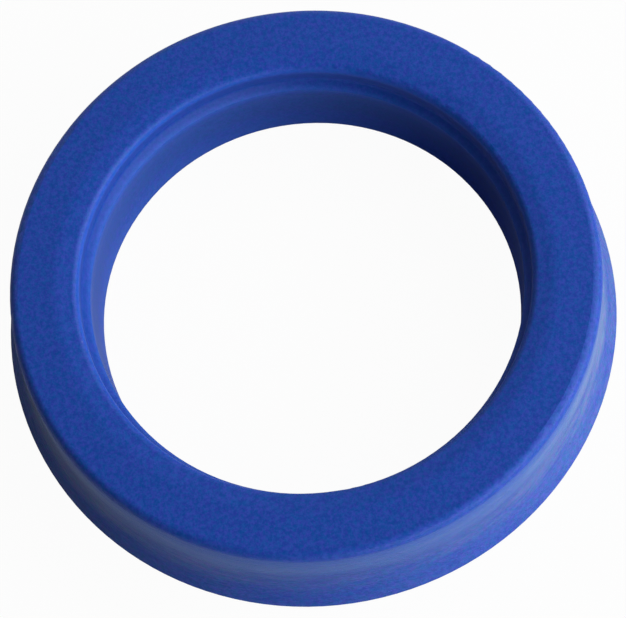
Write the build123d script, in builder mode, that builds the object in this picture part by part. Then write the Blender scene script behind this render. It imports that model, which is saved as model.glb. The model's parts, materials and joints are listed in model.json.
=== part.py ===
from build123d import *
from math import radians, tan
import os

# A one-piece polyurethane U-cup for a 40 mm rod in a 55 mm gland. The ring stands on its
# two lip tips: the origin is the centre of the plane they stand on, and +Z runs up the
# axis to the flat heel face. Sizes are in millimetres, angles in degrees.

# The gland that the seal is made for
ROD_DIAMETER = 40.0
GLAND_SECTION = 7.5  # from the rod to the gland's wall

# Heel: the solid back of the ring
OVERALL_HEIGHT = 10.3  # lip tips to heel face, with the lips relaxed
HEEL_CLEARANCE = 0.25  # heel wall to the gland's wall
HEEL_OUTER_ROUND = 0.85
HEEL_INNER_ROUND = 0.7

# Heel rim: the inner border of the heel face, which eases down towards the bore
RIM_WIDTH = 2.05  # from the relief wall out to the flat of the face
RIM_DROP = 0.3
RIM_RADIUS = 6.0

# Bore side of the heel: a relief step, then a cone down to the land that guides the rod
LAND_CLEARANCE = 0.1  # rod to land
LAND_LENGTH = 1.6
LAND_ROUND = 0.2
LAND_FOOT_RADIUS = 8.0  # where the land runs off into the inner lip
RELIEF_STEP = 0.75  # relief wall outside the land
RELIEF_DEPTH = 2.15
RELIEF_FOOT_ROUND = 0.6
RELIEF_CONE_ANGLE = 38.0  # from the axis

# Outer lip: sweeps out of the heel wall to a sealing edge, and seals on the gland
OUTER_LIP_REACH = 1.45  # sealing edge outside the heel wall
OUTER_EDGE_HEIGHT = 0.35  # sealing edge above the lip tips
OUTER_FLARE_ANGLE = 29.0  # from the axis
OUTER_FLARE_RADIUS = 6.0
OUTER_LIP_THICKNESS = 2.1

# Inner lip: tapers in from the land to a sealing edge, and wipes the rod
INNER_LIP_REACH = 0.35  # sealing edge inside the land
INNER_EDGE_HEIGHT = 0.5
INNER_LIP_THICKNESS = 1.95

# Lip tips: each sealing edge is trimmed back by a bevel from the flat foot of the lip
TRIM_ANGLE = 24.0  # from the plane of the tips

# Groove between the lips: a round floor, and walls that open towards the mouth
GROOVE_DEPTH = 5.3
GROOVE_FLOOR_RADIUS = 1.5

# Radii
land_radius = ROD_DIAMETER / 2 + LAND_CLEARANCE
relief_radius = land_radius + RELIEF_STEP
heel_radius = ROD_DIAMETER / 2 + GLAND_SECTION - HEEL_CLEARANCE
inner_edge_radius = land_radius - INNER_LIP_REACH
outer_edge_radius = heel_radius + OUTER_LIP_REACH
inner_foot_radius = inner_edge_radius + INNER_EDGE_HEIGHT / tan(radians(TRIM_ANGLE))
outer_foot_radius = outer_edge_radius - OUTER_EDGE_HEIGHT / tan(radians(TRIM_ANGLE))
groove_radius = (land_radius + heel_radius) / 2

# Heights above the lip tips
relief_height = OVERALL_HEIGHT - RELIEF_DEPTH
land_top_height = relief_height - RELIEF_STEP / tan(radians(RELIEF_CONE_ANGLE))
land_foot_height = land_top_height - LAND_LENGTH
flare_height = OUTER_EDGE_HEIGHT + OUTER_LIP_REACH / tan(radians(OUTER_FLARE_ANGLE))
groove_floor_height = GROOVE_DEPTH - GROOVE_FLOOR_RADIUS

# Corners of the section, as (radius, height), and those that are rounded
heel_outer_corner = (heel_radius, OVERALL_HEIGHT)
heel_rim_corner = (relief_radius + RIM_WIDTH, OVERALL_HEIGHT)
heel_inner_corner = (relief_radius, OVERALL_HEIGHT - RIM_DROP)
relief_foot_corner = (relief_radius, relief_height)
land_corner = (land_radius, land_top_height)
land_foot_corner = (land_radius, land_foot_height)
flare_corner = (heel_radius, flare_height)
inner_mouth_corner = (inner_edge_radius + INNER_LIP_THICKNESS, 0)
outer_mouth_corner = (outer_edge_radius - OUTER_LIP_THICKNESS, 0)

corner_rounds = [
    (heel_outer_corner, HEEL_OUTER_ROUND),
    (heel_rim_corner, RIM_RADIUS),
    (heel_inner_corner, HEEL_INNER_ROUND),
    (relief_foot_corner, RELIEF_FOOT_ROUND),
    (land_corner, LAND_ROUND),
    (land_foot_corner, LAND_FOOT_RADIUS),
    (flare_corner, OUTER_FLARE_RADIUS),
]

with BuildPart() as u_cup_seal:
    with BuildSketch(Plane.XZ) as section:
        # The ring's outline, from the heel face round the outer lip to the bore
        with BuildLine():
            Polyline(
                heel_inner_corner,
                heel_rim_corner,
                heel_outer_corner,
                flare_corner,
                (outer_edge_radius, OUTER_EDGE_HEIGHT),
                (outer_foot_radius, 0),
                (inner_foot_radius, 0),
                (inner_edge_radius, INNER_EDGE_HEIGHT),
                land_foot_corner,
                land_corner,
                relief_foot_corner,
                close=True,
            )
        make_face()

        # The groove: both walls run from the mouth to meet the round floor at a tangent
        with BuildLine():
            floor = CenterArc(
                (groove_radius, groove_floor_height), GROOVE_FLOOR_RADIUS, 0, 360, mode=Mode.PRIVATE
            )
            outer_wall = ConstrainedLines(
                floor, outer_mouth_corner, selector=lambda lines: lines.sort_by(Axis.X)[-1]
            )
            inner_wall = ConstrainedLines(
                floor, inner_mouth_corner, selector=lambda lines: lines.sort_by(Axis.X)[0]
            )
            floor_ends = [
                wall.vertices().sort_by(Axis.Y)[-1] for wall in (outer_wall, inner_wall)
            ]
            ThreePointArc(floor_ends[0], (groove_radius, GROOVE_DEPTH), floor_ends[1])
            Line(inner_mouth_corner, outer_mouth_corner)
        make_face(mode=Mode.SUBTRACT)

        for corner, radius in corner_rounds:
            fillet(section.vertices().sort_by_distance(corner)[0], radius)
    revolve(axis=Axis.Z)

u_cup_seal.part.label = "u_cup_seal"
os.makedirs("parts", exist_ok=True)
export_step(u_cup_seal.part, "parts/u_cup_seal.step")
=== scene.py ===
import json
import math

import bpy
from bpy.props import FloatProperty, FloatVectorProperty, PointerProperty
from mathutils import Matrix, Vector


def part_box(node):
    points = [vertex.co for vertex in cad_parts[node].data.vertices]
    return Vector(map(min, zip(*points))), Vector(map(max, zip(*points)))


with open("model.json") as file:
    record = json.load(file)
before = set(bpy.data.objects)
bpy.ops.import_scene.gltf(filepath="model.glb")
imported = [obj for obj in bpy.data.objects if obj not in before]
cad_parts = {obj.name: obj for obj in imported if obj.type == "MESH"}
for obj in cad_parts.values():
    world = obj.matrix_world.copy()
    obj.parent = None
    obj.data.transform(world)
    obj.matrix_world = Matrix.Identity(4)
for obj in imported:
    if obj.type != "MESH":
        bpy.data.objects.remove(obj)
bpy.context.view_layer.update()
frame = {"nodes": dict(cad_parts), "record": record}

bl_info = {
    "name": "U Cup Seal",
    "version": (1, 0, 0),
    "blender": (4, 5, 0),
    "location": "3D View > Sidebar > Seal",
    "description": "Moulded polyurethane finish and a plain studio for a U cup seal",
    "category": "Object",
}

SEAL_NODE = "u_cup_seal"
MM = 0.001
WHITE = (1.0, 1.0, 1.0, 1.0)

RING_LOW, RING_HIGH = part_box(SEAL_NODE)
HEEL_CENTRE = Vector((0.0, 0.0, RING_HIGH.z))
RING_WIDTH = RING_HIGH.x - RING_LOW.x
MOUNTS = {mount["name"]: mount for mount in frame["record"]["mounts"]}
HEEL_RADIUS = MOUNTS["heel_wall"]["dims"]["r_mm"] * MM
LAND_RADIUS = MOUNTS["guide_land"]["dims"]["r_mm"] * MM


# ---------------------------------------------------------------- shader maths


class Value:
    """A number that varies over a surface. Arithmetic on it adds Math nodes."""

    def __init__(self, graph, socket):
        self.graph = graph
        self.socket = socket

    def math(self, operation, *inputs):
        return self.graph.add("ShaderNodeMath", {"operation": operation}, dict(enumerate(inputs)))

    def __add__(self, other):
        return self.math("ADD", self, other)

    __radd__ = __add__

    def __sub__(self, other):
        return self.math("SUBTRACT", self, other)

    def __rsub__(self, other):
        return self.math("SUBTRACT", other, self)

    def __mul__(self, other):
        return self.math("MULTIPLY", self, other)

    __rmul__ = __mul__

    def __truediv__(self, other):
        return self.math("DIVIDE", self, other)

    def __pow__(self, other):
        return self.math("POWER", self, other)

    def step(self, start, end):
        """0 where the number is below start and 1 above end, with a smooth rise between."""
        settings = {"interpolation_type": "SMOOTHSTEP"}
        inputs = {"Value": self, "From Min": start, "From Max": end}
        return self.graph.add("ShaderNodeMapRange", settings, inputs)

    def band(self, start, full, fading, end):
        """1 between full and fading, and 0 before start and after end."""
        return self.step(start, full) * (1 - self.step(fading, end))


class Graph:
    """The nodes of one material or of the world."""

    def __init__(self, tree):
        self.tree = tree
        tree.nodes.clear()

    def add(self, kind, settings=None, inputs=None, output=0):
        """Adds a node, makes its settings, feeds its sockets, and returns one output."""
        node = self.tree.nodes.new(kind)
        for name, value in (settings or {}).items():
            setattr(node, name, value)
        for name, value in (inputs or {}).items():
            if isinstance(value, Value):
                self.tree.links.new(value.socket, node.inputs[name])
            else:
                node.inputs[name].default_value = value
        return Value(self, node.outputs[output]) if node.outputs else None

    def noise(self, place, scale, detail, roughness, offset=0.0):
        """Noise from 0 to 1 with a mean of a half; another offset gives another pattern."""
        settings = {"noise_dimensions": "4D"}
        inputs = {"Vector": place, "W": offset, "Scale": scale, "Detail": detail}
        return self.add("ShaderNodeTexNoise", settings, {**inputs, "Roughness": roughness})

    def mix_colours(self, share, one, other):
        """The first colour where share is 0 and the other where it is 1."""
        inputs = {"Factor": share, "A": one, "B": other}
        return self.add("ShaderNodeMix", {"data_type": "RGBA"}, inputs, output="Result")


def new_material(name):
    material = bpy.data.materials.new(name)
    material.use_nodes = True
    return material, Graph(material.node_tree)


# ---------------------------------------------------------------- properties


class SEAL_PG_polyurethane(bpy.types.PropertyGroup):
    colour: FloatVectorProperty(
        name="Colour",
        description="Colour of the moulded polyurethane",
        subtype="COLOR",
        size=4,
        min=0.0,
        max=1.0,
        default=(0.0099, 0.055, 0.330, 1.0),
    )
    # Colour of the painted sheen on the lip's outer wall; the pale specks take this colour too
    painted_sheen_and_speck_colour: FloatVectorProperty(
        name="Bloom colour",
        description="Colour of the dry, dusty bloom on the lip's outer wall",
        subtype="COLOR",
        size=4,
        min=0.0,
        max=1.0,
        default=(0.34, 0.42, 0.34, 1.0),
    )
    # Strength of the painted sheen on the lip's outer wall where it is strongest
    painted_sheen: FloatProperty(
        name="Bloom",
        description="How much of the bloom shows where it is thickest",
        min=0.0,
        max=1.0,
        default=0.25,
    )
    mottle: FloatProperty(
        name="Mottle",
        description="Strength of the mottling in the colour",
        min=0.0,
        max=1.0,
        default=1.0,
    )
    mottle_size: FloatProperty(
        name="Mottle size",
        description="Width of the largest patches of the mottling",
        subtype="DISTANCE",
        unit="LENGTH",
        default=0.45 * MM,
    )
    roughness: FloatProperty(
        name="Roughness",
        description="Roughness of the satin surface",
        min=0.0,
        max=1.0,
        default=0.45,
    )
    sheen: FloatProperty(
        name="Sheen",
        description="Strength of the pale dusty sheen where the surface turns away",
        min=0.0,
        max=1.0,
        default=0.03,
    )
    grain_size: FloatProperty(
        name="Grain size",
        description="Width of one grain of the mould's texture",
        subtype="DISTANCE",
        unit="LENGTH",
        default=0.22 * MM,
    )
    grain_height: FloatProperty(
        name="Grain height",
        description="Height of the grain",
        subtype="DISTANCE",
        unit="LENGTH",
        default=0.010 * MM,
    )


class SEAL_PG_stage(bpy.types.PropertyGroup):
    floor_colour: FloatVectorProperty(
        name="Floor colour",
        description="Colour of the floor",
        subtype="COLOR",
        size=4,
        min=0.0,
        max=1.0,
        default=(0.60, 0.60, 0.60, 1.0),
    )
    key_power: FloatProperty(
        name="Key light",
        description="Power of the long low light at the front right",
        unit="POWER",
        min=0.0,
        default=4.19,
    )
    side_power: FloatProperty(
        name="Side light",
        description="Power of the higher light at the right",
        unit="POWER",
        min=0.0,
        default=3.23,
    )
    fill_power: FloatProperty(
        name="Fill light",
        description="Power of the weak light from behind",
        unit="POWER",
        min=0.0,
        default=0.56,
    )
    world_strength: FloatProperty(
        name="Ambient light",
        description="Strength of the light from all round",
        min=0.0,
        default=0.05,
    )


# ---------------------------------------------------------------- the seal


# Radii over which the outer wall's painted sheen and scuffs come in, and the bore's tones,
# painted shade and painted highlights go out
WALL_EDGE = (HEEL_RADIUS - 0.50 * MM, HEEL_RADIUS)
BORE_EDGE = (LAND_RADIUS + 0.75 * MM, LAND_RADIUS + 1.10 * MM)

# Levels of noise over which a patch or a streak comes in
PATCH = (0.33, 0.67)
STREAK = (0.30, 0.70)

# Mottling: what the patches do to the red, green and blue of the seal's colour
DEEP_VIOLET = (1.35, 0.70, 0.95)
PALE_VIOLET = (2.85, 1.00, 1.16)
DEEP_GREEN = (0.05, 0.95, 0.84)
PALE_GREEN = (0.80, 1.30, 1.05)
DRIFT_FINENESS = 1.2  # of the drift between violet and green, against the pale and deep

# Streaks and scuffs: their noise is read round a circle of this radius, and upwards by one
# for each millimetre of height, so a smaller circle draws them out longer round the ring
STREAK_STRETCH = 3.9
SCUFF_STRETCH = 4.5
SCUFF_SCALE = 4.5

# Painted sheen on the lip's outer wall: the heights over which it strengthens above the lip and
# fades below the heel, the share that is left on the lip and on the ring's front and back, and
# what it is made up of
PAINTED_SHEEN_RISES = (1.5 * MM, 3.2 * MM)
PAINTED_SHEEN_FADES = (7.0 * MM, 9.4 * MM)
PAINTED_SHEEN_ON_LIP = 0.40
PAINTED_SHEEN_FRONT_AND_BACK = 0.28
PAINTED_SHEEN_EVEN = 0.30
PAINTED_SHEEN_STREAKED = 0.70
PAINTED_SHEEN_SCUFFED = 0.60
WARM_PAINTED_SHEEN = (1.35, 0.85, 1.00)
COOL_PAINTED_SHEEN = (0.65, 1.15, 1.00)

# Painted sheen in a paler band on the heel's wall: the heights where it starts, is full, fades
# and ends
PAINTED_WALL_SHEEN_BAND = (4.5 * MM, 6.5 * MM, 9.0 * MM, 9.9 * MM)
PAINTED_WALL_SHEEN_COLOUR = (0.10, 0.22, 0.46, 1.0)
PAINTED_WALL_SHEEN_SHARE = 0.22
PAINTED_WALL_SHEEN_EVEN = 0.70
PAINTED_WALL_SHEEN_SCUFFED = 0.60

# Tones in the bore, among them painted shade and painted highlights, each on top of those before
# it: the heights in millimetres where it starts, is full, fades and ends, then its share, and its
# tint of the seal's colour
BORE_TONES = [
    # painted shade in the recess of the relief
    ((7.2, 7.9, 9.0, 9.5), 0.40, (0.1, 0.5, 0.65)),  # deeper in the relief
    # painted highlight on the heel's inner edge
    ((9.2, 9.6, 9.9, 10.15), 0.35, (1.3, 1.7, 1.5)),  # paler on the heel's inner edge
    # painted highlight on the land's edge
    ((6.5, 7.1, 7.2, 7.7), 0.32, (2.2, 1.9, 1.35)),  # paler on the land's edge
    ((2.5, 4.0, 6.2, 6.8), 0.20, (1.0, 0.9, 0.25)),  # duller under the land
    ((-1.0, 0.0, 0.5, 3.0), 0.35, (2.2, 1.9, 1.45)),  # paler at the inner lip's edge
]

# Specks: one to a cell at most, where the cell's own chance number is high enough
SPECK_SPACING = 1.5 * MM
SPECK_SIZE = 0.09  # radius, as a share of the spacing
SPECK_CORE = 0.036  # radius inside which it is full
PALE_CHANCE = (0.975, 0.980)
DARK_CHANCE = (0.945, 0.950)
PALE_SHARE = 0.15
DARK_SHARE = 0.50
DARK_TINT = (0.3, 0.3, 0.3)

# What the mottling, the grain and the scuffs add to the roughness, and the height of the
# scuffs against the grain's
MOTTLE_ROUGHNESS = 0.06
GRAIN_ROUGHNESS = 0.08
SCUFF_ROUGHNESS = 0.20
SCUFF_HEIGHT = 2.5


def tinted(colour, tint):
    """A colour whose red, green and blue are multiplied by the tint's."""
    return (*(channel * share for channel, share in zip(colour, tint)), 1.0)


class RingPlace:
    """Where a point of the ring's surface is: its height, its radius and its side."""

    def __init__(self, graph):
        self.graph = graph
        self.point = graph.add("ShaderNodeTexCoord", output="Object")
        x, y, self.height = [
            graph.add("ShaderNodeSeparateXYZ", None, {0: self.point}, axis) for axis in "XYZ"
        ]
        self.radius = (x * x + y * y) ** 0.5
        self.cosine = x / self.radius
        self.sine = y / self.radius
        self.on_wall = self.radius.step(*WALL_EDGE)
        self.in_bore = 1 - self.radius.step(*BORE_EDGE)

    def drawn_round(self, stretch):
        """A place to read noise from, so that its patches are drawn out round the ring."""
        around = {"X": stretch * self.cosine, "Y": stretch * self.sine}
        return self.graph.add("ShaderNodeCombineXYZ", None, {**around, "Z": self.height / MM})


def mottled(graph, look, paleness, drift):
    """The seal's blue in pale and deep patches, which drift between violet and green."""
    blue = tuple(look.colour)
    violet = graph.mix_colours(paleness, tinted(blue, DEEP_VIOLET), tinted(blue, PALE_VIOLET))
    green = graph.mix_colours(paleness, tinted(blue, DEEP_GREEN), tinted(blue, PALE_GREEN))
    return graph.mix_colours(look.mottle, blue, graph.mix_colours(drift, violet, green))


def with_painted_sheen(graph, look, colour, ring, drift, scuffs):
    """Painted sheen: a pale grey reflection painted over the lip's outer wall, in faint streaks
    round the ring.
    """
    place = ring.drawn_round(STREAK_STRETCH)
    streaks = graph.noise(place, 1.0, detail=3.0, roughness=0.6).step(*STREAK)
    low = PAINTED_SHEEN_ON_LIP + (1 - PAINTED_SHEEN_ON_LIP) * ring.height.step(*PAINTED_SHEEN_RISES)
    high = 1 - ring.height.step(*PAINTED_SHEEN_FADES)
    side = ring.cosine * ring.cosine
    sides = PAINTED_SHEEN_FRONT_AND_BACK + (1 - PAINTED_SHEEN_FRONT_AND_BACK) * side
    pattern = PAINTED_SHEEN_EVEN + PAINTED_SHEEN_STREAKED * streaks + PAINTED_SHEEN_SCUFFED * scuffs
    # Painted sheen: a pale grey reflection mixed into the outer wall's colour, stronger on two
    # sides
    sheen_share = look.painted_sheen * ring.on_wall * low * high * sides * pattern
    painted_sheen = tuple(look.painted_sheen_and_speck_colour)
    sheen_tone = graph.mix_colours(drift, tinted(painted_sheen, WARM_PAINTED_SHEEN), tinted(painted_sheen, COOL_PAINTED_SHEEN))
    return graph.mix_colours(sheen_share, colour, sheen_tone)


def with_painted_wall_sheen(graph, colour, ring, scuffs):
    """Painted sheen: paler in a band on the heel's wall, patchy with the scuffs."""
    place = ring.on_wall * ring.height.band(*PAINTED_WALL_SHEEN_BAND)
    # Painted sheen: a paler blue standing in for the gloss on the heel's wall
    share = PAINTED_WALL_SHEEN_SHARE * place * (PAINTED_WALL_SHEEN_EVEN + PAINTED_WALL_SHEEN_SCUFFED * scuffs)
    return graph.mix_colours(share, colour, PAINTED_WALL_SHEEN_COLOUR)


def with_bore_tones(graph, look, colour, ring):
    """Painted shade deeper in the bore's relief, and duller under its land; painted highlights,
    paler, on the heel's inner edge and the land's edge; and paler at the inner lip's edge.
    """
    for heights, share, tint in BORE_TONES:
        place = ring.in_bore * ring.height.band(*(height * MM for height in heights))
        colour = graph.mix_colours(share * place, colour, tinted(look.colour, tint))
    return colour


def with_specks(graph, look, colour, ring):
    """A few tiny pale and dark specks, scattered by chance."""
    cells = {"Vector": ring.point, "Scale": 1.0 / SPECK_SPACING}
    from_speck = graph.add("ShaderNodeTexVoronoi", None, cells, "Distance")
    cell_colour = graph.add("ShaderNodeTexVoronoi", None, cells, "Color")
    chance = graph.add("ShaderNodeSeparateColor", None, {0: cell_colour}, "Red")
    speck = 1 - from_speck.step(SPECK_CORE, SPECK_SIZE)
    pale = chance.step(*PALE_CHANCE)
    dark = chance.step(*DARK_CHANCE) * (1 - pale)
    colour = graph.mix_colours(PALE_SHARE * speck * pale, colour, tuple(look.painted_sheen_and_speck_colour))
    return graph.mix_colours(DARK_SHARE * speck * dark, colour, tinted(look.colour, DARK_TINT))


def polyurethane_material(look):
    """Satin polyurethane as it leaves a mould: mottled blue and a fine grain, with painted sheen
    on the outer wall and painted shade and highlights in the bore.
    """
    material, graph = new_material("moulded_polyurethane")
    ring = RingPlace(graph)

    patches = 1.0 / look.mottle_size
    paleness = graph.noise(ring.point, patches, detail=2.0, roughness=0.9).step(*PATCH)
    patches = DRIFT_FINENESS / look.mottle_size
    drift = graph.noise(ring.point, patches, detail=2.0, roughness=0.9, offset=7.0).step(*PATCH)
    place = ring.drawn_round(SCUFF_STRETCH)
    scuffs = graph.noise(place, SCUFF_SCALE, detail=2.0, roughness=0.8, offset=3.0).step(*PATCH)
    grain = graph.noise(ring.point, 1.0 / look.grain_size, detail=2.0, roughness=0.6)
    wear = ring.on_wall * (scuffs - 0.5)

    colour = mottled(graph, look, paleness, drift)
    # Painted sheen on the outer wall, a paler painted sheen on the heel's wall, then painted
    # shade and highlights in the bore
    colour = with_painted_sheen(graph, look, colour, ring, drift, scuffs)
    colour = with_painted_wall_sheen(graph, colour, ring, scuffs)
    colour = with_bore_tones(graph, look, colour, ring)
    colour = with_specks(graph, look, colour, ring)

    roughness = look.roughness + MOTTLE_ROUGHNESS * (paleness - 0.5)
    roughness = roughness + GRAIN_ROUGHNESS * (grain - 0.5) + SCUFF_ROUGHNESS * wear
    height = grain + SCUFF_HEIGHT * wear
    bumps = {"Strength": 1.0, "Distance": look.grain_height, "Height": height}
    skin = {
        "Base Color": colour,
        "Roughness": roughness,
        "Normal": graph.add("ShaderNodeBump", None, bumps),
        "IOR": 1.5,
        "Specular IOR Level": 0.16,
        "Sheen Weight": look.sheen,
        "Sheen Roughness": 0.4,
    }
    shader = graph.add("ShaderNodeBsdfPrincipled", None, skin)
    graph.add("ShaderNodeOutputMaterial", None, {"Surface": shader})
    return material


class SEAL_OT_polyurethane(bpy.types.Operator):
    """Give the moulded ring its satin polyurethane finish"""

    bl_idname = "seal.polyurethane"
    bl_label = "Finish the Ring"

    def execute(self, context):
        ring = frame["nodes"][SEAL_NODE]
        ring.data.materials.clear()
        ring.data.materials.append(polyurethane_material(context.scene.seal_polyurethane))
        return {"FINISHED"}


# ---------------------------------------------------------------- the stage

CAMERA_ELEVATION = math.radians(68.1)
CAMERA_ROLL = math.radians(-11.1)
CAMERA_DISTANCE = 274.35 * MM
CAMERA_LENS = 172.5  # millimetres, on a sensor 36 mm wide
CAMERA_CLIP_START = 10 * MM
HEEL_IN_VIEW = Vector((-0.84 * MM, 3.23 * MM))  # heel centre from the view's centre

# Each light: its name, the setting that holds its power, its azimuth and elevation from
# the ring in degrees, its distance, and its width and height
LIGHTS = [
    ("key_light", "key_power", -45, 14, 500 * MM, 1000 * MM, 300 * MM),
    ("side_light", "side_power", 5, 36, 500 * MM, 700 * MM, 400 * MM),
    ("fill_light", "fill_power", 105, 24, 400 * MM, 500 * MM, 400 * MM),
]

FLOOR_RADIUS = 40 * RING_WIDTH
FLOOR_CORNERS = 96
FLOOR_GAP = 0.02 * MM  # keeps the floor and the flat lip tips out of one plane
# Radii over which the floor comes into the gloss, so that it is left out under the ring
OPEN_FLOOR = (0.5 * RING_WIDTH, 0.5 * RING_WIDTH + 15 * MM)
VIEW_WHITENESS = 0.96  # share of the floor that the view sees as plain white
GLOSS_WHITENESS = 0.56  # the same share in the ring's gloss
SKY_IN_GLOSS = 0.1  # how white the air above the floor is in the ring's gloss


def view_turn():
    """The camera's turn: it looks down along +Y and leans over by its roll."""
    tilt = Matrix.Rotation(math.radians(90) - CAMERA_ELEVATION, 4, "X")
    return tilt @ Matrix.Rotation(CAMERA_ROLL, 4, "Z")


def add_camera(scene):
    camera = bpy.data.objects.new("camera", bpy.data.cameras.new("camera"))
    camera.data.lens = CAMERA_LENS
    camera.data.clip_start = CAMERA_CLIP_START
    turn = view_turn()
    offset = Vector((-HEEL_IN_VIEW.x, -HEEL_IN_VIEW.y, CAMERA_DISTANCE))
    camera.matrix_world = Matrix.Translation(HEEL_CENTRE + turn @ offset) @ turn
    scene.collection.objects.link(camera)
    scene.camera = camera


def light_paths(graph):
    """1 for a ray of the view or one that went through something, and 1 for one in gloss."""
    rays = ("Is Camera Ray", "Is Transmission Ray", "Is Glossy Ray")
    seen, through, glossy = [graph.add("ShaderNodeLightPath", output=ray) for ray in rays]
    return seen + through, glossy


def floor_material(colour):
    """A pale matt floor that keeps shadows and looks white to the view and in gloss."""
    material, graph = new_material("pale_floor")
    view, glossy = light_paths(graph)
    place = graph.add("ShaderNodeNewGeometry", output="Position")
    from_axis = graph.add("ShaderNodeVectorMath", {"operation": "LENGTH"}, {0: place}, "Value")
    share = VIEW_WHITENESS * view + GLOSS_WHITENESS * glossy * from_axis.step(*OPEN_FLOOR)
    matt = graph.add("ShaderNodeBsdfDiffuse", None, {"Color": colour})
    white = graph.add("ShaderNodeEmission", None, {"Color": WHITE, "Strength": 1.0})
    surface = graph.add("ShaderNodeMixShader", None, {0: share, 1: matt, 2: white})
    graph.add("ShaderNodeOutputMaterial", None, {"Surface": surface})
    return material


def add_floor(scene, colour):
    mesh = bpy.data.meshes.new("floor")
    turns = [2 * math.pi * i / FLOOR_CORNERS for i in range(FLOOR_CORNERS)]
    level = RING_LOW.z - FLOOR_GAP
    rim = [(FLOOR_RADIUS * math.cos(t), FLOOR_RADIUS * math.sin(t), level) for t in turns]
    mesh.from_pydata(rim, [], [range(FLOOR_CORNERS)])
    mesh.materials.append(floor_material(colour))
    floor = bpy.data.objects.new("floor", mesh)
    scene.collection.objects.link(floor)


def add_area_light(scene, name, power, azimuth, elevation, distance, width, height):
    """A broad soft light that shines at the ring from the given side."""
    towards = Vector((math.cos(elevation), 0.0, math.sin(elevation)))
    towards.rotate(Matrix.Rotation(azimuth, 3, "Z"))
    lamp = bpy.data.lights.new(name, "AREA")
    lamp.shape = "RECTANGLE"
    lamp.size = width
    lamp.size_y = height
    lamp.energy = power
    light = bpy.data.objects.new(name, lamp)
    light.location = HEEL_CENTRE + distance * towards
    light.rotation_euler = towards.to_track_quat("Z", "Y").to_euler()
    scene.collection.objects.link(light)


def light_world(scene, strength):
    """Weak light from all round, behind which the view sees plain white."""
    world = bpy.data.worlds.new("studio")
    world.use_nodes = True
    graph = Graph(world.node_tree)
    view, glossy = light_paths(graph)
    level = strength + (1 - strength) * (view + SKY_IN_GLOSS * glossy)
    background = graph.add("ShaderNodeBackground", None, {"Color": WHITE, "Strength": level})
    graph.add("ShaderNodeOutputWorld", None, {"Surface": background})
    scene.world = world


class SEAL_OT_stage(bpy.types.Operator):
    """Set the seal on a plain pale floor in soft studio light, and place the camera"""

    bl_idname = "seal.stage"
    bl_label = "Set the Stage"

    def execute(self, context):
        scene = context.scene
        stage = scene.seal_stage
        scene.view_settings.view_transform = "Standard"
        add_floor(scene, tuple(stage.floor_colour))
        light_world(scene, stage.world_strength)
        for name, power, azimuth, elevation, *sizes in LIGHTS:
            angles = math.radians(azimuth), math.radians(elevation)
            add_area_light(scene, name, getattr(stage, power), *angles, *sizes)
        add_camera(scene)
        return {"FINISHED"}


class SEAL_PT_panel(bpy.types.Panel):
    """The seal's steps and settings in the sidebar"""

    bl_label = "U Cup Seal"
    bl_idname = "SEAL_PT_panel"
    bl_space_type = "VIEW_3D"
    bl_region_type = "UI"
    bl_category = "Seal"

    def draw(self, context):
        layout = self.layout
        for operator, settings in STEPS:
            box = layout.box()
            box.operator(operator.bl_idname)
            group = getattr(context.scene, settings)
            for name in group.__annotations__:
                box.prop(group, name)


STEPS = [
    (SEAL_OT_polyurethane, "seal_polyurethane"),
    (SEAL_OT_stage, "seal_stage"),
]
CLASSES = [
    SEAL_PG_polyurethane,
    SEAL_PG_stage,
    SEAL_OT_polyurethane,
    SEAL_OT_stage,
    SEAL_PT_panel,
]


def register():
    for cls in CLASSES:
        bpy.utils.register_class(cls)
    bpy.types.Scene.seal_polyurethane = PointerProperty(type=SEAL_PG_polyurethane)
    bpy.types.Scene.seal_stage = PointerProperty(type=SEAL_PG_stage)


def unregister():
    del bpy.types.Scene.seal_stage
    del bpy.types.Scene.seal_polyurethane
    for cls in reversed(CLASSES):
        bpy.utils.unregister_class(cls)


def main():
    register()
    bpy.ops.seal.polyurethane()
    bpy.ops.seal.stage()


if __name__ == "__main__":
    main()
